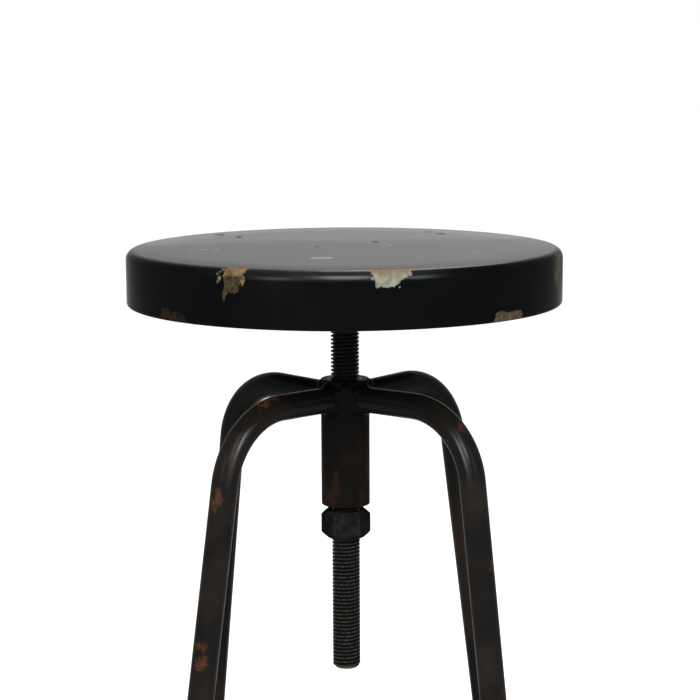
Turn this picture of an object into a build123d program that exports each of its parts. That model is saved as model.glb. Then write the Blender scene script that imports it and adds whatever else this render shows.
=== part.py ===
from build123d import *
import os
from math import cos, hypot, radians, sin, sqrt, tan

# Screw-adjusted bar stool: a pressed steel seat on a threaded spindle, a hub, and four bent tube legs.
# Millimetres. The floor is z = 0, +Z is up, the spindle runs up the Z axis and -Y is the front.

# Seat
SEAT_HEIGHT = 700.0  # top of the seat above the floor, as drawn
SEAT_DIAMETER = 336.0
SEAT_RIM = 42.0  # depth of the turned-down rim
SEAT_SHEET = 2.0
SEAT_EDGE_RADIUS = 7.0  # outside radius where the top turns down into the rim
HEM_DEPTH = 4.0  # rim's lower edge, folded back on itself inside
STIFFENER_DIAMETER = 190.0
STIFFENER_SHEET = 3.0

# Spindle, its flange and what bolts the flange under the seat
THREAD_DIAMETER = 22.0
THREAD_PITCH = 3.0
THREAD_DEPTH = 1.75
THREAD_FLANK = 15.0  # degrees either side of square
SPINDLE_LENGTH = 325.0  # flange underside to the lower end
SPINDLE_SHANK = 8.0  # plain length under the flange
SPIGOT_DIAMETER = 18.0  # stepped end that goes through the flange
TIP_CHAMFER = 2.2
FLANGE_DIAMETER = 126.0
FLANGE_THICKNESS = 6.0
FLANGE_EDGE = 1.0
FLANGE_WELD = 5.0
STUD_COUNT = 4
STUD_DIAMETER = 8.0
STUD_CIRCLE = 96.0
STUD_LENGTH = 17.0  # stud length below the stiffener
STUD_HOLE_CLEARANCE = 0.5  # flange and washer holes, radial
WASHER_DIAMETER = 16.0
WASHER_THICKNESS = 1.6
STUD_NUT_FLATS = 13.0
STUD_NUT_HEIGHT = 6.5

# Hub and the pieces inside it
HUB_DIAMETER = 38.0
HUB_BORE = 28.0
HUB_LENGTH = 100.0
HUB_ABOVE_ARM = 15.0  # hub top above the middle of the arms
HUB_EDGE = 0.8
BUSH_LENGTH = 28.0  # threaded bushes, one at each end of the hub
GUIDE_LENGTH = 12.0  # nylon guide rings between the bushes
GUIDE_CLEARANCE = 0.15  # guide ring in the hub bore, radial
GUIDE_GAP = 0.3  # end gap beside each guide ring
SPINDLE_CLEARANCE = 0.15  # bushes, rings and lock nut round the thread crests, radial

# Lock nut
NUT_FLATS = 34.0
NUT_HEIGHT = 22.0
NUT_GAP = 4.3  # below the hub, as drawn
NUT_CHAMFER_ANGLE = 41.0
NUT_FACE_DIAMETER = 29.4

# Legs
LEG_NAMES = {"front_right": -45.0, "rear_right": 45.0, "rear_left": 135.0, "front_left": -135.0}
LEG_DIAMETER = 20.0
LEG_WALL = 1.5
ARM_HEIGHT = 582.0  # middle of the arms at the hub's axis
ARM_RISE = 1.1  # degrees upwards and outwards
ARM_REACH = 122.0  # axis to the corner where arm and leg would meet unbent
BEND_RADIUS = 58.5
LEG_SPLAY = 8.5  # degrees outwards from upright
LEG_ROLL = -1.5  # degrees that each leg is turned about its own arm
HUB_WELD_RUN = 4.5  # bead along the arm
HUB_WELD_RISE = 2.7  # bead up the hub

# Feet and footrest
FOOT_WALL = 2.5
FOOT_HEIGHT = 30.0
FOOT_SOLE = 6.0
FOOT_EDGE = 1.5
RING_HEIGHT = 250.0
RING_BAR = 14.0  # round bar that the hoop is bent from
RING_FIT = 0.1  # gap between ring and leg, under the weld
RING_WELD = 6.0

os.makedirs("parts", exist_ok=True)


def finish(piece, name):
    """Labels a finished piece and writes it out."""
    piece.part.label = name
    export_step(piece.part, f"parts/{name}.step")


seat_radius = SEAT_DIAMETER / 2
thread_radius = THREAD_DIAMETER / 2
clear_radius = thread_radius + SPINDLE_CLEARANCE
hub_radius = HUB_DIAMETER / 2
leg_radius = LEG_DIAMETER / 2
ring_bar_radius = RING_BAR / 2

stiffener_top = SEAT_HEIGHT - SEAT_SHEET
flange_top = stiffener_top - STIFFENER_SHEET
flange_bottom = flange_top - FLANGE_THICKNESS
washer_bottom = flange_bottom - WASHER_THICKNESS
spindle_tip = flange_bottom - SPINDLE_LENGTH
thread_top = flange_bottom - SPINDLE_SHANK
hub_top = ARM_HEIGHT + HUB_ABOVE_ARM
hub_bottom = hub_top - HUB_LENGTH

# Seat pan: top and rim pressed from one disc, with the rim's lower edge hemmed inwards.
with BuildPart() as seat_pan:
    with BuildSketch(Plane.XZ) as pan_section:
        with BuildLine():
            inner_edge = SEAT_EDGE_RADIUS - SEAT_SHEET
            rim_bottom = SEAT_HEIGHT - SEAT_RIM
            wall = seat_radius - SEAT_SHEET
            top = Polyline((0, stiffener_top), (0, SEAT_HEIGHT), (seat_radius - SEAT_EDGE_RADIUS, SEAT_HEIGHT))
            JernArc(top @ 1, (1, 0), SEAT_EDGE_RADIUS, -90)
            outside = Line(
                (seat_radius, SEAT_HEIGHT - SEAT_EDGE_RADIUS), (seat_radius, rim_bottom + SEAT_SHEET)
            )
            JernArc(outside @ 1, (0, -1), SEAT_SHEET, -180)
            hem = Polyline(
                (wall - SEAT_SHEET, rim_bottom + SEAT_SHEET),
                (wall - SEAT_SHEET, rim_bottom + SEAT_SHEET + HEM_DEPTH),
                (wall, rim_bottom + SEAT_SHEET + HEM_DEPTH),
                (wall, SEAT_HEIGHT - SEAT_EDGE_RADIUS),
            )
            JernArc(hem @ 1, (0, 1), inner_edge, 90)
            Line((wall - inner_edge, stiffener_top), (0, stiffener_top))
        make_face()
    revolve(axis=Axis.Z)
finish(seat_pan, "seat_pan")

# Stiffener: a disc spot-welded under the seat's top, which spreads the load of the flange.
with BuildPart() as seat_stiffener:
    with BuildSketch(Plane.XY.offset(flange_top)):
        Circle(STIFFENER_DIAMETER / 2)
    extrude(amount=STIFFENER_SHEET)
finish(seat_stiffener, "seat_stiffener")

# Four threaded studs welded to the stiffener, pointing down through the flange.
with BuildPart() as stiffener_studs:
    with BuildSketch(Plane.XY.offset(flange_top)):
        with PolarLocations(STUD_CIRCLE / 2, STUD_COUNT):
            Circle(STUD_DIAMETER / 2)
    extrude(amount=-STUD_LENGTH)
    chamfer(stiffener_studs.edges().group_by(Axis.Z)[0], STUD_DIAMETER / 10)
finish(stiffener_studs, "stiffener_studs")

# Flange: a turned disc with the spindle's spigot through its middle and a hole for each stud.
with BuildPart() as spindle_flange:
    with BuildSketch(Plane.XY.offset(flange_bottom)):
        Circle(FLANGE_DIAMETER / 2)
        Circle(SPIGOT_DIAMETER / 2, mode=Mode.SUBTRACT)
        with PolarLocations(STUD_CIRCLE / 2, STUD_COUNT):
            Circle(STUD_DIAMETER / 2 + STUD_HOLE_CLEARANCE, mode=Mode.SUBTRACT)
    extrude(amount=FLANGE_THICKNESS)
    rim_edges = spindle_flange.edges().filter_by(GeomType.CIRCLE)
    chamfer(rim_edges.sort_by(SortBy.RADIUS)[-2:], FLANGE_EDGE)
finish(spindle_flange, "spindle_flange")

# Plain washers under the flange, one on each stud.
with BuildPart() as flange_washers:
    with BuildSketch(Plane.XY.offset(washer_bottom)):
        with PolarLocations(STUD_CIRCLE / 2, STUD_COUNT):
            Circle(WASHER_DIAMETER / 2)
            Circle(STUD_DIAMETER / 2 + STUD_HOLE_CLEARANCE, mode=Mode.SUBTRACT)
    extrude(amount=WASHER_THICKNESS)
finish(flange_washers, "flange_washers")

# Hexagon nuts that hold the flange up against the stiffener.
with BuildPart() as flange_nuts:
    with BuildSketch(Plane.XY.offset(washer_bottom)):
        with PolarLocations(STUD_CIRCLE / 2, STUD_COUNT):
            RegularPolygon(STUD_NUT_FLATS / 2, 6, major_radius=False)
            Circle(STUD_DIAMETER / 2, mode=Mode.SUBTRACT)
    extrude(amount=-STUD_NUT_HEIGHT)
finish(flange_nuts, "flange_nuts")

# Spindle: turned from one bar, with a stepped spigot above, a chamfered end below and the thread between.
# The thread has its true form and pitch, drawn as rings.
thread_root = thread_radius - THREAD_DEPTH
flank = THREAD_DEPTH * tan(radians(THREAD_FLANK))
land = THREAD_PITCH / 2 - flank
thread_turns = int((thread_top - spindle_tip - TIP_CHAMFER) / THREAD_PITCH)
with BuildPart() as spindle:
    with BuildSketch(Plane.XZ):
        with BuildLine():
            outline = [
                (0, flange_top),
                (SPIGOT_DIAMETER / 2, flange_top),
                (SPIGOT_DIAMETER / 2, flange_bottom),
                (thread_radius, flange_bottom),
            ]
            for turn in range(thread_turns):
                crest = thread_top - turn * THREAD_PITCH
                outline += [
                    (thread_radius, crest),
                    (thread_root, crest - flank),
                    (thread_root, crest - flank - land),
                    (thread_radius, crest - 2 * flank - land),
                ]
            outline += [
                (thread_radius, spindle_tip + TIP_CHAMFER),
                (thread_radius - TIP_CHAMFER, spindle_tip),
                (0, spindle_tip),
            ]
            Polyline(*outline, close=True)
        make_face()
    revolve(axis=Axis.Z)
finish(spindle, "spindle")

# Fillet weld that runs round the spindle under the flange.
with BuildPart() as spindle_weld:
    with BuildSketch(Plane.XZ):
        with BuildLine():
            Polyline(
                (thread_radius, flange_bottom),
                (thread_radius + FLANGE_WELD, flange_bottom),
                (thread_radius, flange_bottom - FLANGE_WELD),
                close=True,
            )
        make_face()
    revolve(axis=Axis.Z)
finish(spindle_weld, "spindle_weld")

# Hub: a length of thick tube that the arms are welded to.
with BuildPart() as hub_tube:
    with BuildSketch(Plane.XY.offset(hub_bottom)):
        Circle(hub_radius)
        Circle(HUB_BORE / 2, mode=Mode.SUBTRACT)
    extrude(amount=HUB_LENGTH)
    hub_ends = hub_tube.edges().filter_by(GeomType.CIRCLE)
    chamfer(hub_ends.sort_by(SortBy.RADIUS)[-2:], HUB_EDGE)
finish(hub_tube, "hub_tube")

# Threaded bushes pressed into the two ends of the hub, which carry the spindle.
for name, bush_bottom in {
    "thread_bush_upper": hub_top - BUSH_LENGTH,
    "thread_bush_lower": hub_bottom,
}.items():
    with BuildPart() as thread_bush:
        with BuildSketch(Plane.XY.offset(bush_bottom)):
            Circle(HUB_BORE / 2)
            Circle(clear_radius, mode=Mode.SUBTRACT)
        extrude(amount=BUSH_LENGTH)
    finish(thread_bush, name)

# Nylon guide rings, free to turn in the hub, stacked on the lower bush.
guide_bottom = hub_bottom + BUSH_LENGTH + GUIDE_GAP
for name, ring_bottom in {
    "guide_ring_lower": guide_bottom,
    "guide_ring_upper": guide_bottom + GUIDE_LENGTH + GUIDE_GAP,
}.items():
    with BuildPart() as guide_ring:
        with BuildSketch(Plane.XY.offset(ring_bottom)):
            Circle(HUB_BORE / 2 - GUIDE_CLEARANCE)
            Circle(clear_radius, mode=Mode.SUBTRACT)
        extrude(amount=GUIDE_LENGTH)
    finish(guide_ring, name)

# Lock nut: a deep hexagon nut turned to a cone at both ends, which tightens up against the hub.
nut_top = hub_bottom - NUT_GAP
nut_corner = NUT_FLATS / sqrt(3)
with BuildPart() as lock_nut:
    with BuildSketch(Plane.XY.offset(nut_top - NUT_HEIGHT)):
        RegularPolygon(NUT_FLATS / 2, 6, major_radius=False)
    extrude(amount=NUT_HEIGHT)
    with BuildSketch(Plane.XZ):
        with BuildLine():
            cone_depth = (nut_corner - NUT_FACE_DIAMETER / 2) * tan(radians(NUT_CHAMFER_ANGLE))
            Polyline(
                (clear_radius, nut_top - NUT_HEIGHT),
                (NUT_FACE_DIAMETER / 2, nut_top - NUT_HEIGHT),
                (nut_corner, nut_top - NUT_HEIGHT + cone_depth),
                (nut_corner, nut_top - cone_depth),
                (NUT_FACE_DIAMETER / 2, nut_top),
                (clear_radius, nut_top),
                close=True,
            )
        make_face()
    revolve(axis=Axis.Z, mode=Mode.INTERSECT)
finish(lock_nut, "lock_nut")

# Legs: each one length of tube, bent once, coped to the hub at its inner end and cut level in its foot.
bend_turn = 90 + ARM_RISE - LEG_SPLAY
leg_run = (cos(radians(bend_turn)), -sin(radians(bend_turn)))


def leg_plane(azimuth):
    """The plane that one leg is bent in: X runs out along the arm, Y is up, rolled about the arm."""
    rise = radians(ARM_RISE)
    arm = Vector(cos(rise), 0, sin(rise)).rotate(Axis.Z, azimuth)
    side = Vector(0, -1, 0).rotate(Axis.Z, azimuth).rotate(Axis((0, 0, 0), arm), LEG_ROLL)
    return Plane(origin=(0, 0, ARM_HEIGHT), x_dir=arm, z_dir=side)


def leg_point(plane, height):
    """Where a leg's straight middle line passes a height above the floor."""
    corner = plane.from_local_coords(Vector(ARM_REACH, 0, 0))
    down = plane.from_local_coords(Vector(ARM_REACH + leg_run[0], leg_run[1], 0)) - corner
    return corner + down * ((height - corner.Z) / down.Z)


def leg_axis(plane):
    """The middle line of a leg below its bend, from the floor upwards."""
    floor_point = leg_point(plane, 0)
    return Plane(origin=floor_point, z_dir=leg_point(plane, ARM_HEIGHT) - floor_point)


leg_length = 1.1 * ARM_HEIGHT / cos(radians(LEG_SPLAY))
for name, azimuth in LEG_NAMES.items():
    bend_plane = leg_plane(azimuth)
    straight = leg_axis(bend_plane)

    with BuildPart() as leg:
        with BuildLine(bend_plane) as leg_route:
            FilletPolyline(
                (0, 0),
                (ARM_REACH, 0),
                (ARM_REACH + leg_length * leg_run[0], leg_length * leg_run[1]),
                radius=BEND_RADIUS,
            )
        with BuildSketch(Plane(origin=leg_route.line @ 0, z_dir=leg_route.line % 0)):
            Circle(leg_radius)
            Circle(leg_radius - LEG_WALL, mode=Mode.SUBTRACT)
        sweep()
        split(bisect_by=Plane.XY.offset(FOOT_SOLE), keep=Keep.TOP)
        with BuildSketch(Plane.XY.offset(hub_bottom)):
            Circle(hub_radius)
        extrude(amount=HUB_LENGTH, mode=Mode.SUBTRACT)
    finish(leg, f"leg_{name}")

    # The space that the leg's end takes up in its foot.
    with BuildPart() as leg_end:
        with BuildSketch(straight.offset(-FOOT_HEIGHT)):
            Circle(leg_radius)
        extrude(amount=3 * FOOT_HEIGHT)
        split(bisect_by=Plane.XY.offset(FOOT_SOLE), keep=Keep.TOP)

    # Rubber foot: a cup pushed over the leg's end, with a level sole.
    with BuildPart() as foot:
        with BuildSketch(straight.offset(-FOOT_HEIGHT)):
            Circle(leg_radius + FOOT_WALL)
        extrude(amount=2 * FOOT_HEIGHT)
        split(bisect_by=Plane.XY, keep=Keep.TOP)
        chamfer(foot.edges().group_by(Axis.Z)[-1], FOOT_EDGE)
        chamfer(foot.edges().group_by(Axis.Z)[0], FOOT_EDGE)
        add(leg_end.part, mode=Mode.SUBTRACT)
    finish(foot, f"foot_{name}")

# Hub weld: the four fillet beads run into one round the top of the hub, filling the corner of each arm.
weld_start = hub_radius * cos(radians(45))
weld_end = hub_radius + HUB_WELD_RUN
weld_swell = HUB_WELD_RISE / HUB_WELD_RUN * (weld_end - weld_start)
with BuildPart() as hub_weld:
    for azimuth in LEG_NAMES.values():
        bend_plane = leg_plane(azimuth)
        arm_across = Plane(origin=bend_plane.origin, z_dir=bend_plane.x_dir)
        with BuildSketch(arm_across.offset(weld_start)):
            Circle(leg_radius + weld_swell)
        with BuildSketch(arm_across.offset(weld_end)):
            Circle(leg_radius)
        loft()
    for azimuth in LEG_NAMES.values():
        bend_plane = leg_plane(azimuth)
        with BuildSketch(Plane(origin=bend_plane.origin, z_dir=bend_plane.x_dir)):
            Circle(leg_radius)
        extrude(amount=2 * weld_end, mode=Mode.SUBTRACT)
    with BuildSketch(Plane.XY.offset(hub_bottom)):
        Circle(hub_radius)
    extrude(amount=2 * HUB_LENGTH, mode=Mode.SUBTRACT)
finish(hub_weld, "hub_weld")

# Footrest: a hoop of round bar inside the legs, touching each of them under its weld.
leg_at_ring = leg_point(leg_plane(0), RING_HEIGHT)
leg_to_ring = (leg_radius + ring_bar_radius + RING_FIT) / cos(radians(LEG_SPLAY))
ring_radius = hypot(leg_at_ring.X, leg_at_ring.Y) - leg_to_ring
with BuildPart() as footrest_ring:
    with BuildSketch(Plane.XZ):
        with Locations((ring_radius, RING_HEIGHT)):
            Circle(ring_bar_radius)
    revolve(axis=Axis.Z)
finish(footrest_ring, "footrest_ring")

# Footrest welds: a bead in the corner between the hoop and each leg.
for name, azimuth in LEG_NAMES.items():
    straight = leg_axis(leg_plane(azimuth))
    leg_at_ring = leg_point(leg_plane(azimuth), RING_HEIGHT)
    outwards = Vector(leg_at_ring.X, leg_at_ring.Y, 0).normalized()
    touch = outwards * (ring_radius + ring_bar_radius) + Vector(0, 0, RING_HEIGHT)
    with BuildPart() as footrest_weld:
        with Locations(touch):
            Sphere(RING_WELD)
        with BuildSketch(straight):
            Circle(leg_radius)
        extrude(amount=2 * RING_HEIGHT, mode=Mode.SUBTRACT)
        add(footrest_ring.part, mode=Mode.SUBTRACT)
    finish(footrest_weld, f"footrest_weld_{name}")
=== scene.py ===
from math import cos, pi, radians, sin, sqrt, tan

import bmesh
import bpy
from mathutils import Matrix, Vector


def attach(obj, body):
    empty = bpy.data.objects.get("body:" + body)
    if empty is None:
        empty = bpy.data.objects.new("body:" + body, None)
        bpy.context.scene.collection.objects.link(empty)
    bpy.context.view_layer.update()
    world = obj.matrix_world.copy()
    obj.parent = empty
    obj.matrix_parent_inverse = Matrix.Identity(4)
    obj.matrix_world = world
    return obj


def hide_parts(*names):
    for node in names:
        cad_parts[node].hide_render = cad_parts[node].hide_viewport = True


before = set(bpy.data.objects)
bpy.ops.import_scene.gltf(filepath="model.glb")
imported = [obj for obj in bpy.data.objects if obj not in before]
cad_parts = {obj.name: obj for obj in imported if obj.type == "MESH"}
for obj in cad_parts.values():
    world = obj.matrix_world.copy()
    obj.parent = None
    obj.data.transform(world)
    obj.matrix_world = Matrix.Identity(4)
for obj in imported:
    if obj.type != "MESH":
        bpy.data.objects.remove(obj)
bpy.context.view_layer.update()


# Hub: a length of thick steel tube that everything meets at.
# It is sawn to length, and its two ends are dressed with a file before the arms are welded on.
# Its black-brown lacquer has worn through to rust in places.
hub_bottom, hub_top = 0.497, 0.597
hub_radius = 0.019
hub_bore = 0.014
hub_edge = 0.0008
# where rust shows: the middle of each spot, and its half sizes
hub_rust = [
    ((-0.0084, -0.0165, 0.5140), (0.0034, 0.006, 0.0130)),
    ((-0.0115, -0.0145, 0.5040), (0.0055, 0.008, 0.0080)),
    ((0.0125, -0.0140, 0.5060), (0.0050, 0.008, 0.0110)),
    ((0.0160, 0.0090, 0.5400), (0.006, 0.006, 0.014)),
]


def spin_round(bm, steps):
    """Spins what is drawn a full turn about Z, and closes the seam."""
    drawn = bm.verts[:] + bm.edges[:]
    bmesh.ops.spin(
        bm, geom=drawn, cent=(0, 0, 0), axis=(0, 0, 1), angle=2 * pi, steps=steps, use_merge=True,
    )
    bmesh.ops.remove_doubles(bm, verts=bm.verts[:], dist=1e-6)
    bmesh.ops.recalc_face_normals(bm, faces=bm.faces[:])


def turned(outline, rounded, steps):
    """Turns a closed outline of (radius, height) points about Z, with the numbered corners rounded first."""
    bm = bmesh.new()
    corners = [bm.verts.new((radius, 0, height)) for radius, height in outline]
    for corner, following in zip(corners, corners[1:] + corners[:1]):
        bm.edges.new((corner, following))
    for number, radius in rounded.items():
        bmesh.ops.bevel(
            bm, geom=[corners[number]], offset=radius, offset_type="OFFSET", segments=5, profile=0.5,
            affect="VERTICES", material=-1,
        )
    spin_round(bm, steps)
    return bm


def add_piece(name, bm, finish, body, node):
    """Makes a finished mesh a piece that stands for a CAD node and moves with its body."""
    crease = radians(38)
    for edge in bm.edges:
        edge.smooth = edge.calc_face_angle(0) < crease
    for face in bm.faces:
        face.smooth = True
    mesh = bpy.data.meshes.new(name)
    bm.to_mesh(mesh)
    bm.free()
    mesh.materials.append(finish)
    piece = bpy.data.objects.new(name, mesh)
    bpy.context.scene.collection.objects.link(piece)
    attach(piece, body)
    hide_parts(node)
    return piece


def new_finish(name):
    """A node material, with its tree, its shader and the piece's own coordinates."""
    finish = bpy.data.materials.new(name)
    finish.use_nodes = True
    tree = finish.node_tree
    place = tree.nodes.new("ShaderNodeTexCoord").outputs["Object"]
    return finish, tree, tree.nodes["Principled BSDF"], place


def add_node(tree, kind, inputs, **settings):
    """Adds a shader node, sets it up, and links or fills its inputs."""
    node = tree.nodes.new("ShaderNode" + kind)
    for key, value in settings.items():
        setattr(node, key, value)
    for key, value in inputs.items():
        if isinstance(value, bpy.types.NodeSocket):
            tree.links.new(value, node.inputs[key])
        else:
            node.inputs[key].default_value = value
    return node


def grain(tree, place, scale, detail=4.0, roughness=0.55):
    """Noise at a scale of so many lumps to the metre."""
    inputs = {"Vector": place, "Scale": scale, "Detail": detail, "Roughness": roughness}
    return add_node(tree, "TexNoise", inputs).outputs["Fac"]


def spread(tree, value, low, high, to_low=0.0, to_high=1.0):
    """Stretches a value smoothly from one range to another."""
    inputs = {"Value": value, "From Min": low, "From Max": high, "To Min": to_low, "To Max": to_high}
    return add_node(tree, "MapRange", inputs, interpolation_type="SMOOTHSTEP").outputs["Result"]


def coat(tree, mask, under, over):
    """One colour laid over another where the mask is 1."""
    inputs = {0: mask, 6: under, 7: over}
    return add_node(tree, "Mix", inputs, data_type="RGBA").outputs[2]


def work_out(tree, operation, a, b):
    """Two values put together."""
    return add_node(tree, "Math", {0: a, 1: b}, operation=operation).outputs[0]


def value_over(tree, mask, under, over):
    """One value in place of another where the mask is 1."""
    return add_node(tree, "Mix", {0: mask, 2: under, 3: over}).outputs[0]


def gather(tree, operation, masks):
    """Several masks made one: MAXIMUM is full where any of them is, MINIMUM and MULTIPLY where all are."""
    gathered, *others = masks
    for mask in others:
        gathered = work_out(tree, operation, gathered, mask)
    return gathered


def sway(tree, value, amount):
    """A grain made to swing to both sides of nought."""
    return work_out(tree, "MULTIPLY", work_out(tree, "SUBTRACT", value, 0.5), amount)


def work_out_place(tree, operation, a, b):
    """Two places or offsets put together."""
    return add_node(tree, "VectorMath", {0: a, 1: b}, operation=operation).outputs[0]


def distance(tree, offset):
    """How long an offset is."""
    return add_node(tree, "VectorMath", {0: offset}, operation="LENGTH").outputs["Value"]


def split(tree, place):
    """The X, Y and Z of a place."""
    return add_node(tree, "SeparateXYZ", {0: place}).outputs


def emboss(tree, shader, height, depth, strength=1.0):
    """Gives the surface a relief of so many metres."""
    inputs = {"Height": height, "Distance": depth, "Strength": strength}
    tree.links.new(add_node(tree, "Bump", inputs).outputs["Normal"], shader.inputs["Normal"])


def patches(tree, place, spots, ragged, core=0.85):
    """A mask of ragged spots, each given by its centre and its half sizes, that is full inside the core."""
    masks = []
    for centre, size in spots:
        offset = work_out_place(tree, "DIVIDE", work_out_place(tree, "SUBTRACT", place, centre), size)
        reach = work_out(tree, "ADD", distance(tree, offset), ragged)
        masks.append(spread(tree, reach, 1.15, core))
    return gather(tree, "MAXIMUM", masks)


def rust(tree, fine):
    """The colour of rust, from dark to bright by its grain."""
    dark, bright = (0.046, 0.0190, 0.0115, 1), (0.135, 0.054, 0.029, 1)
    return coat(tree, spread(tree, fine, 0.35, 0.65), dark, bright)


def worn_lacquer(name, rusted, through, faded, sheen, shine, dulled):
    """Black-brown lacquer over steel, faded, with spots of rust, and darkened up under the seat with painted
    shade.
    """
    finish, tree, shader, place = new_finish(name)
    broad = grain(tree, place, 16, 5)
    blotch = grain(tree, place, 190, 4, 0.65)
    fine = grain(tree, place, 420, 4, 0.65)
    black = [tone * faded for tone in (0.0040, 0.0039, 0.0038)] + [1]
    brown = [tone * faded for tone in (0.0110, 0.0078, 0.0060)] + [1]
    colour = coat(tree, spread(tree, broad, 0.40, 0.72), black, brown)
    # painted shade: the lacquer is darkened towards the seat, where the seat's shadow falls on the arms and
    # hub
    painted_shade_under_seat = spread(tree, split(tree, place)["Z"], 0.53, 0.58, 0, 0.4)
    colour = coat(tree, painted_shade_under_seat, colour, (0.0030, 0.0029, 0.0028, 1))
    mask = patches(tree, place, rusted, sway(tree, blotch, 2.6), 0.35)
    colour = coat(tree, work_out(tree, "MULTIPLY", mask, through), colour, rust(tree, fine))
    tree.links.new(colour, shader.inputs["Base Color"])
    gloss = spread(tree, grain(tree, place, 70, 3), 0.3, 0.7, 0.26, 0.36)
    tree.links.new(value_over(tree, mask, gloss, 0.75), shader.inputs["Roughness"])
    shader.inputs["Specular IOR Level"].default_value = sheen
    shader.inputs["Coat Weight"].default_value = shine
    shader.inputs["Coat Roughness"].default_value = dulled
    emboss(tree, shader, fine, 0.00025, 0.5)
    return finish


hub = turned(
    [(hub_bore, hub_bottom), (hub_radius, hub_bottom), (hub_radius, hub_top), (hub_bore, hub_top)],
    rounded={1: hub_edge, 2: hub_edge}, steps=96,
)
hub_finish = worn_lacquer(
    "hub_lacquer", hub_rust, through=0.13, faded=1.05, sheen=0.002, shine=0.03, dulled=0.40,
)
add_piece("hub_sleeve", hub, hub_finish, "frame", "hub_tube")


# Threaded bushes: two steel bushes pressed into the ends of the hub, dark with old oil.
# Their end faces show as rings round the spindle.
bush_finish, tree, shader, place = new_finish("bush_steel")
stain = grain(tree, place, 120, 5, 0.6)
oily, paler = (0.0072, 0.0068, 0.0064, 1), (0.021, 0.0185, 0.016, 1)
tree.links.new(coat(tree, spread(tree, stain, 0.35, 0.7), oily, paler), shader.inputs["Base Color"])
tree.links.new(spread(tree, stain, 0.3, 0.7, 0.30, 0.48), shader.inputs["Roughness"])
shader.inputs["Specular IOR Level"].default_value = 0.04
emboss(tree, shader, grain(tree, place, 1500, 2), 0.0001, 0.4)
for bush in ("thread_bush_upper", "thread_bush_lower"):
    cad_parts[bush].material_slots[0].material = bush_finish


# Guide rings: two natural nylon rings inside the hub, between the bushes, greased and a little yellowed.
# They are turned from rod and sit loose in the bore.
nylon_finish, tree, shader, place = new_finish("greased_nylon")
grease = spread(tree, grain(tree, place, 180, 4), 0.45, 0.7)
tree.links.new(coat(tree, grease, (0.62, 0.58, 0.49, 1), (0.34, 0.27, 0.18, 1)), shader.inputs["Base Color"])
tree.links.new(spread(tree, grease, 0, 1, 0.55, 0.3), shader.inputs["Roughness"])
for ring in ("guide_ring_upper", "guide_ring_lower"):
    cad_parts[ring].material_slots[0].material = nylon_finish


# Legs: four lengths of thin round steel tube, each bent once and welded to the hub at its inner end.
# They are lacquered like the hub, and rust shows where the lacquer has been knocked.
tube_radius = 0.010
arm_height = 0.582
arm_start, arm_reach = 0.0155, 0.122
arm_rise = radians(1.1)
leg_splay = radians(8.5)
leg_roll = radians(-1.5)
bend_radius = 0.0585
bend_turn = radians(90) + arm_rise - leg_splay
bend_start = arm_reach - bend_radius * tan(bend_turn / 2)
uncut_leg, leg_bottom = 0.62, 0.006
leg_azimuths = {"front_right": -45, "rear_right": 45, "rear_left": 135, "front_left": -135}
leg_rust = {
    "front_left": [
        ((-0.0975, -0.0999, 0.5265), (0.0036, 0.006, 0.0066)),
        ((-0.1000, -0.0990, 0.5200), (0.0030, 0.006, 0.0060)),
        ((-0.1123, -0.1089, 0.4160), (0.0062, 0.007, 0.0048)),
        ((-0.1124, -0.1107, 0.4030), (0.0068, 0.007, 0.0062)),
        ((-0.0640, -0.0670, 0.5905), (0.0075, 0.008, 0.0042)),
        ((-0.0557, -0.0584, 0.5920), (0.0050, 0.006, 0.0030)),
        ((-0.1230, -0.1200, 0.2900), (0.007, 0.009, 0.0100)),
    ],
    "front_right": [
        ((0.0832, -0.0849, 0.5740), (0.0042, 0.007, 0.0060)),
        ((0.1030, -0.1060, 0.4727), (0.0026, 0.007, 0.0060)),
        ((0.1130, -0.1150, 0.3770), (0.0050, 0.008, 0.0070)),
        ((0.1250, -0.1330, 0.2100), (0.008, 0.009, 0.0180)),
    ],
    "rear_left": [
        ((-0.0950, 0.1070, 0.5100), (0.008, 0.009, 0.0150)),
        ((-0.1180, 0.1330, 0.2000), (0.009, 0.009, 0.0160)),
    ],
    "rear_right": [
        ((0.0960, 0.0900, 0.5550), (0.008, 0.009, 0.0120)),
        ((0.1320, 0.1190, 0.3300), (0.009, 0.009, 0.0200)),
    ],
}
rust_through = {"front_left": 0.60, "front_right": 0.28, "rear_left": 0.6, "rear_right": 0.6}
leg_faded = {"front_left": 1.8, "front_right": 2.0, "rear_left": 1.8, "rear_right": 1.9}
# a line rubbed round a bend: its side, the degrees where it comes in and where it is full, and its shine
rubbed_line = {"front_left": (-1, 24, 52, 0.66), "front_right": (1, 38, 62, 0.66)}


def arm_place(azimuth):
    """Where a leg lies: X runs out along its arm, Y is up, and the leg is rolled a little about the arm."""
    turn = Matrix.Rotation(radians(azimuth), 4, "Z")
    rise = Matrix.Rotation(-arm_rise, 4, "Y")
    upright = Matrix.Rotation(radians(90), 4, "X")
    roll = Matrix.Rotation(leg_roll, 4, "X")
    return Matrix.Translation((0, 0, arm_height)) @ turn @ rise @ roll @ upright


def leg_spot(azimuth, height):
    """The middle of a leg at a height above the floor, and the direction that the leg runs up in."""
    place = arm_place(azimuth)
    corner = place @ Vector((arm_reach, 0, 0))
    upwards = place.to_3x3() @ Vector((-cos(bend_turn), sin(bend_turn), 0))
    return corner + upwards * ((height - corner.z) / upwards.z), upwards


def grow(bm, ring):
    """Extrudes a ring of edges, and gives the corners and the edges of the new ring."""
    grown = bmesh.ops.extrude_edge_only(bm, edges=ring)["geom"]
    corners = [part for part in grown if isinstance(part, bmesh.types.BMVert)]
    edges = [part for part in grown if isinstance(part, bmesh.types.BMEdge)]
    return corners, [edge for edge in edges if all(v in corners for v in edge.verts)]


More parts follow.
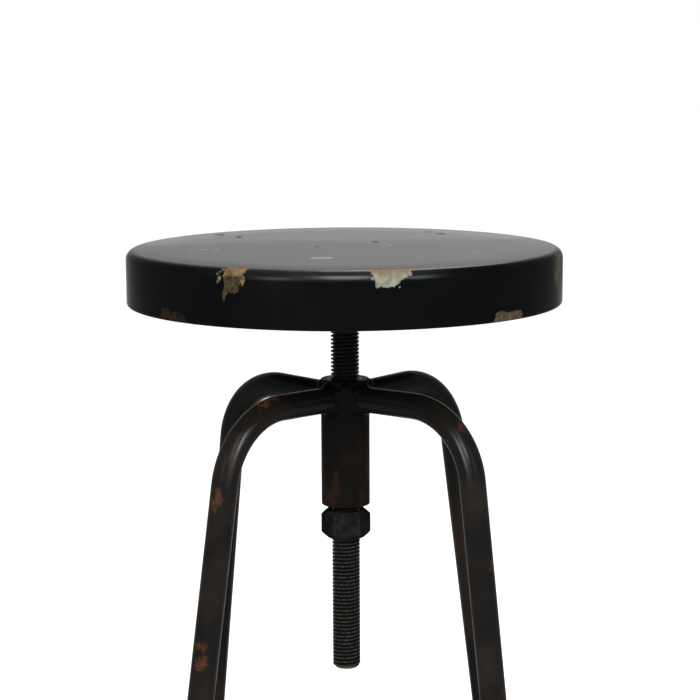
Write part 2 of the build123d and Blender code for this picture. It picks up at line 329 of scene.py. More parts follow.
def cut_off(bm, level, side):
    """Cuts a piece level, and takes away what is above where side is 1, or below where it is -1."""
    everything = bm.verts[:] + bm.edges[:] + bm.faces[:]
    bmesh.ops.bisect_plane(
        bm, geom=everything, plane_co=(0, 0, level), plane_no=(0, 0, side), clear_outer=True,
    )


def along_bend(finish, azimuth, hand, begin, full):
    """A mask for a line rubbed along one side of a leg's bend, which comes in between two angles round it."""
    tree = finish.node_tree
    lie = arm_place(azimuth)
    place = add_node(tree, "TexCoord", {}).outputs["Object"]
    lay = {0: place, "Location": lie.translation, "Rotation": lie.to_euler()}
    local = split(tree, add_node(tree, "Mapping", lay, vector_type="TEXTURE").outputs[0])
    out = work_out(tree, "SUBTRACT", local["X"], bend_start)
    up = work_out(tree, "ADD", local["Y"], bend_radius)
    reach = distance(tree, add_node(tree, "CombineXYZ", {0: out, 1: up}).outputs[0])
    line_radius = bend_radius + 0.49 * tube_radius
    off_line = work_out(tree, "ABSOLUTE", work_out(tree, "SUBTRACT", reach, line_radius), 0.0)
    around = work_out(tree, "ARCTAN2", out, up)
    line = spread(tree, off_line, 0.30 * tube_radius, 0.02 * tube_radius)
    comes_in = spread(tree, around, radians(begin), radians(full))
    goes_out = spread(tree, around, radians(92), radians(66))
    on_side = spread(tree, work_out(tree, "MULTIPLY", local["Z"], hand), 0.004, 0.006)
    return gather(tree, "MULTIPLY", (line, comes_in, goes_out, on_side))


def rub_bright(finish, mask, weight):
    """Gives a lacquer more shine where the mask is 1."""
    tree = finish.node_tree
    shine = tree.nodes["Principled BSDF"].inputs["Coat Weight"]
    rubbed = work_out(tree, "MULTIPLY", mask, weight)
    tree.links.new(work_out(tree, "MAXIMUM", rubbed, shine.default_value), shine)


for leg, azimuth in leg_azimuths.items():
    tube = bmesh.new()
    inner_end = Matrix.Translation((arm_start, 0, 0)) @ Matrix.Rotation(radians(90), 4, "Y")
    bmesh.ops.create_circle(tube, segments=40, radius=tube_radius, matrix=inner_end)
    arm_end, arm_ring = grow(tube, tube.edges[:])
    bmesh.ops.translate(tube, verts=arm_end, vec=(bend_start - arm_start, 0, 0))
    bend = bmesh.ops.spin(
        tube, geom=arm_end + arm_ring, cent=(bend_start, -bend_radius, 0), axis=(0, 0, -1),
        angle=bend_turn, steps=32,
    )["geom_last"]
    bend_ring = [part for part in bend if isinstance(part, bmesh.types.BMEdge)]
    leg_end = grow(tube, bend_ring)[0]
    downwards = Vector((cos(bend_turn), -sin(bend_turn), 0))
    bmesh.ops.translate(tube, verts=leg_end, vec=downwards * uncut_leg)
    bmesh.ops.transform(tube, matrix=arm_place(azimuth), verts=tube.verts[:])
    cut_off(tube, leg_bottom, -1)
    bmesh.ops.recalc_face_normals(tube, faces=tube.faces[:])
    finish = worn_lacquer(
        f"leg_lacquer_{leg}", leg_rust[leg], through=rust_through[leg], faded=leg_faded[leg],
        sheen=0.008, shine=0.05, dulled=0.22,
    )
    if leg in rubbed_line:
        hand, begin, full, weight = rubbed_line[leg]
        rub_bright(finish, along_bend(finish, azimuth, hand, begin, full), weight)
    add_piece(f"bent_leg_{leg}", tube, finish, "frame", f"leg_{leg}")


# Hub weld: a bead laid by hand round the end of each arm, heaped up at the top of the hub between the arms.
# The ripples of the bead are left as they were laid, and lacquered over.
arm_drops = 26
# each round of the bead: how far out from the arm's middle, how far along the arm, and the size of its drops
arm_rounds = ((0.0103, 0.0004, 0.0025), (0.0097, 0.0026, 0.0017))
# the heap between two arms: how far out, across and up each drop lies, and its size
heap = (
    (0.0175, 0.0000, 0.5938, 0.0034),
    (0.0177, 0.0000, 0.5915, 0.0048),
    (0.0179, 0.0028, 0.5885, 0.0042),
    (0.0179, -0.0030, 0.5880, 0.0042),
    (0.0181, 0.0004, 0.5835, 0.0040),
    (0.0179, -0.0004, 0.5775, 0.0040),
    (0.0177, 0.0018, 0.5730, 0.0034),
    (0.0177, -0.0020, 0.5725, 0.0034),
)
run_drops = 16


def laid_bead(drops, voxel):
    """Drops of weld metal, each a place and a size, run together into one bead."""
    bm = bmesh.new()
    for place, size in drops:
        bmesh.ops.create_icosphere(bm, subdivisions=3, radius=size, matrix=Matrix.Translation(place))
    mesh = bpy.data.meshes.new("drops")
    bm.to_mesh(mesh)
    bm.free()
    pool = bpy.data.objects.new("drops", mesh)
    bpy.context.scene.collection.objects.link(pool)
    fuse = pool.modifiers.new("fuse", "REMESH")
    fuse.mode = "VOXEL"
    fuse.voxel_size = voxel
    settled = bpy.data.meshes.new_from_object(pool.evaluated_get(bpy.context.evaluated_depsgraph_get()))
    bpy.data.objects.remove(pool)
    bm = bmesh.new()
    bm.from_mesh(settled)
    bpy.data.meshes.remove(settled)
    for _ in range(5):
        bmesh.ops.smooth_vert(
            bm, verts=bm.verts[:], factor=0.5, use_axis_x=True, use_axis_y=True, use_axis_z=True,
        )
    return bm


drops = []
for azimuth in leg_azimuths.values():
    turn = Matrix.Rotation(radians(azimuth), 4, "Z")
    for step in range(arm_drops):
        around = 2 * pi * step / arm_drops
        wander = 0.0004 * sin(5.1 * step + azimuth)
        for out, further, size in arm_rounds:
            across, up = out * cos(around), out * sin(around)
            along = sqrt(hub_radius**2 - across**2) + further + wander
            spot = turn @ Vector((along, across, arm_height + up))
            drops.append((spot, size + 0.0002 * sin(2.3 * step)))
for azimuth in (0, 90, 180, 270):
    turn = Matrix.Rotation(radians(azimuth), 4, "Z")
    for along, across, height, size in heap:
        drops.append((turn @ Vector((along, across, height)), size))
# a run of weld metal down the front of the hub, and the drop that it ends in
for step in range(run_drops):
    drops.append((Vector((-0.0003, -0.0185, 0.5800 - 0.0010 * step)), 0.0022 - 0.00006 * step))
drops.append((Vector((-0.0001, -0.0187, 0.5546)), 0.0015))
bead_rust = [((0.010, 0.018, 0.578), (0.006, 0.006, 0.006))]
bead_finish = worn_lacquer(
    "hub_weld_lacquer", bead_rust, through=0.4, faded=0.8, sheen=0.004, shine=0.035, dulled=0.30,
)
add_piece("hub_bead", laid_bead(drops, voxel=0.0007), bead_finish, "frame", "hub_weld")


# Footrest: a hoop of round bar standing inside the legs.
# It is bent in a roll and closed with one butt weld, and lacquered with the frame.
# Shoes have rubbed the lacquer brown along the top of it.
hoop_height = 0.250
hoop_bar = 0.007
hoop_gap = 0.0001
leg_reach = leg_spot(0, hoop_height)[0].xy.length
hoop_radius = leg_reach - (tube_radius + hoop_bar + hoop_gap) / cos(leg_splay)
hoop_rust = [
    ((0.030, -0.152, 0.2570), (0.030, 0.007, 0.0040)),
    ((-0.050, -0.146, 0.2560), (0.022, 0.007, 0.0040)),
    ((0.130, 0.085, 0.2560), (0.016, 0.016, 0.0050)),
    ((-0.080, 0.134, 0.2540), (0.014, 0.009, 0.0060)),
]
hoop = bmesh.new()
bar_section = Matrix.Translation((hoop_radius, 0, hoop_height)) @ Matrix.Rotation(radians(90), 4, "X")
bmesh.ops.create_circle(hoop, segments=28, radius=hoop_bar, matrix=bar_section)
spin_round(hoop, steps=160)
hoop_finish = worn_lacquer(
    "hoop_lacquer", hoop_rust, through=0.9, faded=1.8, sheen=0.008, shine=0.08, dulled=0.22,
)
add_piece("footrest_hoop", hoop, hoop_finish, "frame", "footrest_ring")


# Footrest welds: a short bead above and below the place where the hoop touches each leg.
# They are laid by hand like the welds at the hub, and lacquered over.
hoop_drops = 9
half_bead = 0.0054
bead_rise, bead_droop = 0.0040, 0.0016
bead_sunk = 0.0004
for leg, azimuth in leg_azimuths.items():
    middle, upwards = leg_spot(azimuth, hoop_height)
    outwards = Vector((middle.x, middle.y, 0)).normalized()
    sideways = Vector((-outwards.y, outwards.x, 0))
    touch = outwards * (hoop_radius + hoop_bar - bead_sunk) + Vector((0, 0, hoop_height))
    drops = []
    for step in range(hoop_drops):
        lean = 2 * step / (hoop_drops - 1) - 1
        for level in (-1, 1):
            rise = level * (bead_rise - bead_droop * lean**2)
            spot = touch + sideways * (half_bead * lean) + upwards * rise
            size = 0.0021 + 0.0003 * sin(2.7 * step + azimuth)
            drops.append((spot - outwards * bead_sunk * lean**2, size))
    bead = laid_bead(drops, voxel=0.0006)
    add_piece(f"hoop_bead_{leg}", bead, bead_finish, "frame", f"footrest_weld_{leg}")


# Feet: moulded black rubber cups pushed over the ends of the legs.
# They are ribbed round the side, worn level underneath and a little grey with age.
foot_radius, rib_root = 0.0125, 0.0117
rib_heights = (0.009, 0.014, 0.019)
foot_top, leg_seat = 0.030, 0.007
below_floor = -0.008
foot_finish, tree, shader, place = new_finish("foot_rubber")
bloom = grain(tree, place, 90, 5, 0.6)
rubber, greyed = (0.012, 0.012, 0.012, 1), (0.040, 0.038, 0.035, 1)
tree.links.new(coat(tree, spread(tree, bloom, 0.4, 0.75), rubber, greyed), shader.inputs["Base Color"])
tree.links.new(spread(tree, bloom, 0.3, 0.7, 0.65, 0.85), shader.inputs["Roughness"])
shader.inputs["Specular IOR Level"].default_value = 0.25
emboss(tree, shader, grain(tree, place, 1400, 3), 0.00015, 0.6)
foot_outline = [(0, below_floor), (foot_radius, below_floor), (foot_radius, rib_heights[0])]
for rib in rib_heights:
    foot_outline += [(rib_root, rib + 0.0006), (rib_root, rib + 0.0024), (foot_radius, rib + 0.0030)]
lip = len(foot_outline)
foot_outline += [(foot_radius, foot_top), (tube_radius, foot_top), (tube_radius, leg_seat), (0, leg_seat)]
for leg, azimuth in leg_azimuths.items():
    sole, upwards = leg_spot(azimuth, 0)
    foot = turned(foot_outline, rounded={lip: 0.0015}, steps=64)
    stand = Matrix.Translation(sole) @ Vector((0, 0, 1)).rotation_difference(upwards).to_matrix().to_4x4()
    bmesh.ops.transform(foot, matrix=stand, verts=foot.verts[:])
    cut_off(foot, 0, -1)
    sole_edge = [edge for edge in foot.edges if edge.is_boundary]
    bmesh.ops.holes_fill(foot, edges=sole_edge, sides=0)
    bmesh.ops.bevel(
        foot, geom=sole_edge, offset=0.0016, offset_type="OFFSET", segments=3, profile=0.5,
        affect="EDGES", material=-1,
    )
    bmesh.ops.recalc_face_normals(foot, faces=foot.faces[:])
    add_piece(f"rubber_foot_{leg}", foot, foot_finish, "frame", f"foot_{leg}")


# Lock nut: a deep hexagon nut, black from the forge, turned to a cone at both ends.
# It hangs a few millimetres under the hub, and is wound up against it to stop the seat from turning.
nut_top, nut_height = 0.4927, 0.022


def hexagon_nut(flats, height, face_radius, bore, slope, corner):
    """A hexagon nut about the origin, whose flats end in the curves that its two end cones cut in them."""
    bm = bmesh.new()
    corners = bmesh.ops.create_circle(bm, segments=6, radius=flats / sqrt(3))["verts"]
    bmesh.ops.bevel(
        bm, geom=corners, offset=corner, offset_type="OFFSET", segments=3, profile=0.5,
        affect="VERTICES", material=-1,
    )
    sides = [edge for edge in bm.edges if edge.calc_length() > flats / 4]
    bmesh.ops.subdivide_edges(bm, edges=sides, cuts=13)
    bmesh.ops.rotate(bm, cent=(0, 0, 0), matrix=Matrix.Rotation(radians(30), 3, "Z"), verts=bm.verts[:])
    ring = bm.edges[:]
    end = height / 2
    mouth = bore + 0.06 * flats
    bore_end = end + bore - mouth
    for radius, level in ((None, end), (face_radius, end), (mouth, end), (bore, bore_end), (bore, 0)):
        ring_corners, ring = grow(bm, ring)
        for v in ring_corners:
            v.co.z = level
            if radius:
                v.co.xy = v.co.xy.normalized() * radius
            else:
                v.co.z -= max(v.co.xy.length - face_radius, 0) * slope
    bmesh.ops.mirror(bm, geom=bm.verts[:] + bm.edges[:] + bm.faces[:], axis="Z", merge_dist=1e-6)
    bmesh.ops.recalc_face_normals(bm, faces=bm.faces[:])
    return bm


def black_steel(name):
    """Black forge scale on steel, scuffed a little greyer."""
    finish, tree, shader, place = new_finish(name)
    scale = grain(tree, place, 150, 6, 0.6)
    black, scuffed = (0.0085, 0.0085, 0.0087, 1), (0.0180, 0.0175, 0.0175, 1)
    colour = coat(tree, spread(tree, scale, 0.4, 0.72), black, scuffed)
    tree.links.new(colour, shader.inputs["Base Color"])
    tree.links.new(spread(tree, scale, 0.3, 0.7, 0.42, 0.58), shader.inputs["Roughness"])
    shader.inputs["Specular IOR Level"].default_value = 0.0
    emboss(tree, shader, grain(tree, place, 700, 3, 0.6), 0.0002, 0.5)
    return finish


lock_nut = hexagon_nut(
    flats=0.034, height=nut_height, face_radius=0.0147, bore=0.0112, slope=tan(radians(41)), corner=0.0008,
)
bmesh.ops.translate(lock_nut, verts=lock_nut.verts[:], vec=(0, 0, nut_top - nut_height / 2))
nut_finish = black_steel("nut_black")
tree = nut_finish.node_tree
place = add_node(tree, "TexCoord", {}).outputs["Object"]
axes = split(tree, place)
around = work_out(tree, "ARCTAN2", axes["Y"], axes["X"])
uneven = spread(tree, grain(tree, place, 300), 0.3, 0.7, 0, 0.05)
off_corner = work_out(tree, "ADD", work_out(tree, "PINGPONG", around, radians(30)), uneven)
spanner_worn = spread(tree, off_corner, radians(5), radians(1.5))
black = tree.nodes["Principled BSDF"].inputs["Base Color"]
worn_black = coat(tree, spanner_worn, black.links[0].from_socket, (0.021, 0.0205, 0.020, 1))
tree.links.new(worn_black, black)
add_piece("deep_lock_nut", lock_nut, nut_finish, "lock_nut", "lock_nut")


# Spindle: a steel bar with a coarse right-hand screw thread cut along it, dark with oil and dirt.
# Its lower end is chamfered and left bare, and its upper end is welded into the flange.
thread_radius, thread_depth, thread_pitch = 0.011, 0.00175, 0.003
thread_flank = thread_depth * tan(radians(15))
spindle_tip, thread_top, flange_bottom, spindle_top = 0.364, 0.681, 0.689, 0.695
spigot_radius = 0.009
tip_chamfer = 0.0022


def cut_thread(radius, depth, pitch, flank, low, high, steps):
    """A right-hand screw thread along Z: one tooth's outline, wound up round the axis."""
    bm = bmesh.new()
    root = radius - depth
    crest = pitch / 2 - flank
    outline = [(root, 0), (radius, flank), (radius, flank + crest), (root, 2 * flank + crest), (root, pitch)]
    teeth = [bm.verts.new((out, 0, low - 2 * pitch + up)) for out, up in outline]
    for tooth, following in zip(teeth, teeth[1:]):
        bm.edges.new((tooth, following))
    bmesh.ops.spin(
        bm, geom=bm.verts[:] + bm.edges[:], cent=(0, 0, 0), axis=(0, 0, 1), dvec=(0, 0, pitch / steps),
        angle=2 * pi, steps=steps,
    )
    length = pitch
    while length < high - low + 2 * pitch:
        copy = bmesh.ops.duplicate(bm, geom=bm.verts[:] + bm.edges[:] + bm.faces[:])["geom"]
        copied = [part for part in copy if isinstance(part, bmesh.types.BMVert)]
        bmesh.ops.translate(bm, verts=copied, vec=(0, 0, length))
        length *= 2
    bmesh.ops.remove_doubles(bm, verts=bm.verts[:], dist=1e-6)
    cut_off(bm, low, -1)
    cut_off(bm, high, 1)
    return bm


def chamfer_tip(bm, tip, end_radius):
    """Turns the lower end of a thread down to a cone."""
    for v in bm.verts:
        limit = end_radius + (v.co.z - tip)
        if v.co.xy.length > limit:
            v.co.xy *= limit / v.co.xy.length


def from_axis(tree, place):
    """A place with its height left out, and how far it lies from the stool's axis."""
    flat = work_out_place(tree, "MULTIPLY", place, (1, 1, 0))
    return flat, distance(tree, flat)


spindle = cut_thread(
    thread_radius, thread_depth, thread_pitch, thread_flank, low=spindle_tip, high=thread_top, steps=40,
)
bmesh.ops.holes_fill(spindle, edges=[edge for edge in spindle.edges if edge.is_boundary], sides=0)
chamfer_tip(spindle, spindle_tip, thread_radius - tip_chamfer)
bmesh.ops.recalc_face_normals(spindle, faces=spindle.faces[:])
for radius, low, high in (
    (thread_radius, thread_top, flange_bottom),
    (spigot_radius, flange_bottom, spindle_top),
):
    middle = Matrix.Translation((0, 0, (low + high) / 2))
    bmesh.ops.create_cone(
        spindle, cap_ends=True, segments=64, radius1=radius, radius2=radius, depth=high - low, matrix=middle,
    )
spindle_finish, tree, shader, place = new_finish("spindle_steel")
stain = grain(tree, place, 60, 5, 0.6)
streak = grain(tree, place, 400, 3, 0.6)
height = split(tree, place)["Z"]
crest = spread(tree, from_axis(tree, place)[1], 0.0098, 0.0109)
oil, dirt = (0.0042, 0.0038, 0.0034, 1), (0.0098, 0.0072, 0.0052, 1)
grimy = coat(tree, spread(tree, stain, 0.35, 0.7), oil, dirt)
dull_steel, bright_steel = (0.016, 0.0148, 0.0138, 1), (0.052, 0.047, 0.042, 1)
polished = coat(tree, spread(tree, streak, 0.4, 0.7), dull_steel, bright_steel)
# painted shade: the polished crests are dimmed towards the top, up under the seat where its shadow falls
paler = spread(tree, height, 0.560, 0.470, 0.25, 1.0)
bare = spread(tree, height, 0.3672, 0.3655)
steel = coat(tree, work_out(tree, "MULTIPLY", crest, paler), grimy, polished)
steel = coat(tree, bare, steel, (0.11, 0.095, 0.075, 1))
tree.links.new(steel, shader.inputs["Base Color"])
tree.links.new(spread(tree, streak, 0.3, 0.7, 0.26, 0.46), shader.inputs["Roughness"])
shader.inputs["Specular IOR Level"].default_value = 0.02
emboss(tree, shader, streak, 0.0002, 0.4)
add_piece("screw_spindle", spindle, spindle_finish, "seat", "spindle")


# Flange: a turned steel disc that the top of the spindle is welded into, blacked like the nuts.
# Four studs come down through it.
flange_finish = black_steel("flange_black")
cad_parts["spindle_flange"].material_slots[0].material = flange_finish


# Spindle weld: one bead run round the spindle under the flange.
# It is laid while the flange is turned under the torch, and lacquered like the other welds.
weld_drops = 34
weld_radius, weld_height = 0.0126, 0.6872
drops = []
for step in range(weld_drops):
    around = 2 * pi * step / weld_drops
    spot = Vector((weld_radius * cos(around), weld_radius * sin(around), weld_height))
    drops.append((spot, 0.0025 + 0.0003 * sin(4.3 * step)))
add_piece("flange_bead", laid_bead(drops, voxel=0.0006), bead_finish, "seat", "spindle_weld")


# Washers, studs and nuts: four sets of steel fasteners that hold the flange up against the stiffener.
# The studs are welded to the stiffener and left oily, and their threaded ends stand out below the nuts.
# The washers and nuts are blacked.
stud_circle, stud_radius = 0.048, 0.004
stud_tip, stud_top = 0.678, 0.695
stud_chamfer = 0.0008
stud_nut_middle = 0.68415
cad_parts["flange_washers"].material_slots[0].material = flange_finish
studs = bmesh.new()
nuts = bmesh.new()
for quarter in range(4):
    spot = Matrix.Rotation(radians(90 * quarter), 4, "Z") @ Vector((stud_circle, 0, 0))
    stud = cut_thread(
        stud_radius, depth=0.0007, pitch=0.00125, flank=0.0004, low=stud_tip, high=stud_top, steps=20,
    )
    chamfer_tip(stud, stud_tip, stud_radius - stud_chamfer)
    bmesh.ops.holes_fill(stud, edges=[edge for edge in stud.edges if edge.is_boundary], sides=0)
    bmesh.ops.translate(stud, verts=stud.verts[:], vec=spot)
    bmesh.ops.recalc_face_normals(stud, faces=stud.faces[:])
    small_nut = hexagon_nut(
        flats=0.013, height=0.0065, face_radius=0.0060, bore=0.0041, slope=tan(radians(30)), corner=0.0003,
    )
    nut_spot = spot + Vector((0, 0, stud_nut_middle))
    bmesh.ops.translate(small_nut, verts=small_nut.verts[:], vec=nut_spot)
    for gathered, single in ((studs, stud), (nuts, small_nut)):
        mesh = bpy.data.meshes.new("fastener")
        single.to_mesh(mesh)
        single.free()
        gathered.from_mesh(mesh)
        bpy.data.meshes.remove(mesh)
add_piece("flange_studs", studs, spindle_finish, "seat", "stiffener_studs")
add_piece("stud_nuts", nuts, flange_finish, "seat", "flange_nuts")


# Seat: one disc of sheet steel pressed into a shallow pan, with its lower edge folded in.
# It has black enamel over a cream undercoat, chipped at its edges, and fine rings on top from being polished.
seat_radius, seat_top, rim_bottom = 0.168, 0.700, 0.658
sheet = 0.002
hem_top = rim_bottom + 0.006
seat = turned(
    [
        (0, seat_top),
        (0.130, seat_top),
        (seat_radius, seat_top),
        (seat_radius, rim_bottom),
        (seat_radius - 2 * sheet, rim_bottom),
        (seat_radius - 2 * sheet, hem_top),
        (seat_radius - sheet, hem_top),
        (seat_radius - sheet, seat_top - sheet),
        (0, seat_top - sheet),
    ],
    rounded={2: 0.007, 3: 0.0019, 4: 0.0019, 7: 0.005}, steps=288,
)
# the inside of the pan gets the second finish, which is made with the stiffener
for face in seat.faces:
    middle = face.calc_center_median()
    outwards = face.normal.xy.dot(middle.xy.normalized())
    in_hem = middle.z < rim_bottom + 0.007 and face.normal.z > 0.7
    face.material_index = int(outwards < -0.3 or face.normal.z < -0.8 or in_hem)

# the rim is unrolled to a strip, so that chips have a place round it and a place up it
seat_finish, tree, shader, place = new_finish("chipped_enamel")
axes = split(tree, place)
flat_place, out_from_axis = from_axis(tree, place)
around = work_out(tree, "ARCTAN2", axes["Y"], axes["X"])
round_rim = work_out(tree, "MULTIPLY", around, seat_radius)
up_rim = work_out(tree, "ADD", work_out(tree, "SUBTRACT", axes["Z"], out_from_axis), seat_radius)
unrolled = add_node(tree, "CombineXYZ", {0: round_rim, 1: up_rim, 2: 0.0}).outputs[0]
crackle = {"Vector": place, "Scale": 380, "Detail": 5, "Roughness": 0.6}
jag = add_node(tree, "TexNoise", crackle).outputs["Color"]
jag = work_out_place(tree, "SUBTRACT", jag, (0.5, 0.5, 0.5))
jag = work_out_place(tree, "MULTIPLY", jag, (0.0055, 0.0055, 0))
torn = work_out_place(tree, "ADD", unrolled, jag)
torn_axes = split(tree, torn)


def tear(low, high, left, right):
    """A mask for a tear in the enamel: its two heights on the rim, and the degrees of its sides at each."""
    round_torn, up_torn = torn_axes["X"], torn_axes["Y"]
    inside = [work_out(tree, "SUBTRACT", up_torn, low), work_out(tree, "SUBTRACT", high, up_torn)]
    for (at_low, at_high), hand in ((left, 1), (right, -1)):
        ends = {"Value": up_torn, "From Min": low, "From Max": high}
        ends.update({"To Min": radians(at_low) * seat_radius, "To Max": radians(at_high) * seat_radius})
        side = add_node(tree, "MapRange", ends).outputs["Result"]
        inside.append(work_out(tree, "MULTIPLY", work_out(tree, "SUBTRACT", round_torn, side), hand))
    return spread(tree, gather(tree, "MINIMUM", inside), -0.0002, 0.0003)


def rim_spots(spots):
    """Spots given in degrees round the rim and metres up it, with their half sizes, laid on the strip."""
    return [
        ((radians(azimuth) * seat_radius, height, 0), (wide, tall, 1))
        for azimuth, height, wide, tall in spots
    ]


def undercoat(dark, light):
    """The undercoat where the enamel has gone, mottled from dark to light."""
    return coat(tree, spread(tree, mottle, 0.40, 0.62), dark, light)


blotch = grain(tree, place, 240, 4, 0.6)
fleck = grain(tree, place, 1100, 3, 0.6)
mottle = value_over(tree, 0.35, blotch, fleck)
enamel, paler_enamel = (0.0024, 0.0026, 0.0032, 1), (0.0038, 0.0038, 0.0042, 1)
colour = coat(tree, spread(tree, grain(tree, place, 9, 4), 0.4, 0.7), enamel, paler_enamel)
# each group of chips: its tears, its crumbs, and the dark and light of its undercoat
chips = []
for tears, spots, dark, light in (
    # front left, down the side below the chip in the top edge, with a run at its left
    (
        [(0.6832, 0.6970, (-121.8, -122.5), (-118.3, -116.7))],
        [(-121.9, 0.6838, 0.0017, 0.0040), (-122.3, 0.6800, 0.0012, 0.0034)],
        (0.026, 0.0190, 0.0090, 1), (0.072, 0.053, 0.027, 1),
    ),
    # front left, over the top edge
    (
        [(0.6948, 0.7062, (-122.2, -122.4), (-117.2, -115.9))],
        [(-117.0, 0.6925, 0.0013, 0.0042), (-123.6, 0.6990, 0.0018, 0.0012),
         (-124.0, 0.6958, 0.0013, 0.0010), (-123.4, 0.6930, 0.0013, 0.0020),
         (-123.9, 0.6905, 0.0009, 0.0009), (-122.9, 0.7020, 0.0016, 0.0012)],
        (0.072, 0.047, 0.019, 1), (0.236, 0.175, 0.078, 1),
    ),
    # front, right of the middle, over the top edge
    (
        [(0.6884, 0.6976, (-84.5, -85.2), (-80.3, -75.9)), (0.6968, 0.7062, (-85.3, -86.0), (-75.9, -75.6))],
        [(-85.6, 0.6950, 0.0009, 0.0016), (-79.0, 0.6888, 0.0008, 0.0008)],
        (0.168, 0.158, 0.112, 1), (0.275, 0.262, 0.198, 1),
    ),
    # lower edge, front left
    (
        [(0.6500, 0.6632, (-145.6, -144.6), (-133.9, -134.8))],
        [(-142.2, 0.6645, 0.0048, 0.0028), (-138.0, 0.6640, 0.0046, 0.0022),
         (-135.3, 0.6628, 0.0020, 0.0022)],
        (0.0096, 0.0070, 0.0055, 1), (0.0290, 0.0200, 0.0152, 1),
    ),
    # lower edge, front right
    (
        [(0.6500, 0.6622, (-54.2, -52.6), (-42.0, -42.6))],
        [(-50.6, 0.6632, 0.0046, 0.0026), (-48.8, 0.6622, 0.0050, 0.0026),
         (-46.4, 0.6622, 0.0060, 0.0026), (-44.2, 0.6628, 0.0038, 0.0024)],
        (0.054, 0.039, 0.024, 1), (0.124, 0.093, 0.063, 1),
    ),
    # at the back and the far right
    (
        [(0.6905, 0.7062, (60.6, 58.2), (64.2, 66.8)), (0.6960, 0.7062, (139.0, 138.0), (142.5, 144.0)),
         (0.6500, 0.6665, (102.5, 104.5), (113.5, 111.0)), (0.6500, 0.6640, (16.0, 18.0), (24.0, 22.5))],
        [(57.4, 0.6975, 0.0014, 0.0016), (145.5, 0.6985, 0.0012, 0.0010)],
        (0.115, 0.086, 0.050, 1), (0.31, 0.265, 0.175, 1),
    ),
):
    crumbs = patches(tree, torn, rim_spots(spots), 0.0)
    mask = gather(tree, "MAXIMUM", [crumbs] + [tear(*shape) for shape in tears])
    colour = coat(tree, mask, colour, undercoat(dark, light))
    chips.append(mask)
chipped = gather(tree, "MAXIMUM", chips)

# the undercoat is stained brown along the top of the chips, and the right side is worn down to it in specks
wander = sway(tree, grain(tree, place, 130, 5, 0.7), 0.026)
stained = spread(tree, work_out(tree, "ADD", up_rim, wander), 0.6980, 0.7030)
stained = gather(tree, "MULTIPLY", (stained, chipped, 0.8))
colour = coat(tree, stained, colour, (0.200, 0.122, 0.066, 1))
worn_spots = [
    (-17.5, 0.6900, 0.0200, 0.0130),
    (-13.5, 0.6870, 0.0120, 0.0170),
    (-20.5, 0.6840, 0.0100, 0.0100),
]
specks = patches(tree, torn, rim_spots(worn_spots), sway(tree, mottle, 3.4), 0.55)
specks = work_out(tree, "MULTIPLY", specks, 0.9)
drab, cream = (0.066, 0.055, 0.036, 1), (0.130, 0.111, 0.076, 1)
colour = coat(tree, specks, colour, coat(tree, spread(tree, blotch, 0.35, 0.65), drab, cream))

# nicks in the top: dull dark bruises, and flakes down to the undercoat
on_top = spread(tree, axes["Z"], seat_top - 0.0004, seat_top - 0.0001)
nick_place = work_out_place(tree, "ADD", flat_place, work_out_place(tree, "MULTIPLY", jag, (1.7, 1.7, 0)))
# each group of nicks: its spots, its dark and light, and how strongly it shows
nicks = []
for spots, dark, light, weight in (
    (
        [((-0.0990, 0.1040, 0), (0.0046, 0.0050, 1)), ((-0.0830, 0.0840, 0), (0.0026, 0.0080, 1)),
         ((0.0255, 0.0340, 0), (0.0034, 0.0055, 1)), ((-0.0210, 0.0000, 0), (0.0018, 0.0045, 1)),
         ((0.0830, 0.0960, 0), (0.0036, 0.0060, 1)), ((0.0740, 0.1130, 0), (0.0036, 0.0040, 1))],
        (0.014, 0.013, 0.012, 1), (0.046, 0.042, 0.037, 1), 0.65,
    ),
    (
        [((-0.0910, 0.0880, 0), (0.0070, 0.0050, 1)), ((-0.0980, -0.0170, 0), (0.0040, 0.0070, 1)),
         ((-0.1080, -0.0130, 0), (0.0050, 0.0040, 1)), ((-0.1150, -0.0190, 0), (0.0036, 0.0050, 1)),
         ((0.0310, 0.0180, 0), (0.0048, 0.0085, 1)), ((0.0350, 0.0090, 0), (0.0030, 0.0060, 1)),
         ((0.0040, 0.1330, 0), (0.0060, 0.0060, 1)), ((0.0960, -0.0470, 0), (0.0030, 0.0050, 1)),
         ((0.0880, -0.0530, 0), (0.0034, 0.0050, 1)), ((0.0995, -0.0580, 0), (0.0026, 0.0050, 1))],
        (0.150, 0.142, 0.112, 1), (0.370, 0.360, 0.320, 1), 0.75,
    ),
    (
        [((-0.0225, -0.0815, 0), (0.0056, 0.0085, 1)), ((-0.0160, -0.0800, 0), (0.0048, 0.0075, 1)),
         ((-0.0115, -0.0775, 0), (0.0022, 0.0036, 1))],
        (0.235, 0.230, 0.190, 1), (0.370, 0.366, 0.325, 1), 0.9,
    ),
):
    mask = gather(tree, "MULTIPLY", (patches(tree, nick_place, spots, 0.0, 0.9), on_top, weight))
    colour = coat(tree, mask, colour, undercoat(dark, light))
    nicks.append(mask)
marked = gather(tree, "MAXIMUM", nicks)

# scratches across the top, most of them faint
hairs = []
for turn, drift in ((17, 0.3), (74, 1.7), (128, 2.9)):
    lay = {0: flat_place, "Rotation": (0, 0, radians(turn)), "Location": (drift, 0, 0), "Scale": (7, 520, 1)}
    drawn_out = add_node(tree, "Mapping", lay).outputs[0]
    hair = add_node(tree, "TexNoise", {0: drawn_out, "Scale": 1.0, "Detail": 2.0}).outputs["Fac"]
    hairs.append(spread(tree, hair, 0.70, 0.76))
scratched = gather(tree, "MULTIPLY", (gather(tree, "MAXIMUM", hairs), on_top, 0.35))
colour = coat(tree, scratched, colour, (0.030, 0.030, 0.031, 1))
tree.links.new(colour, shader.inputs["Base Color"])

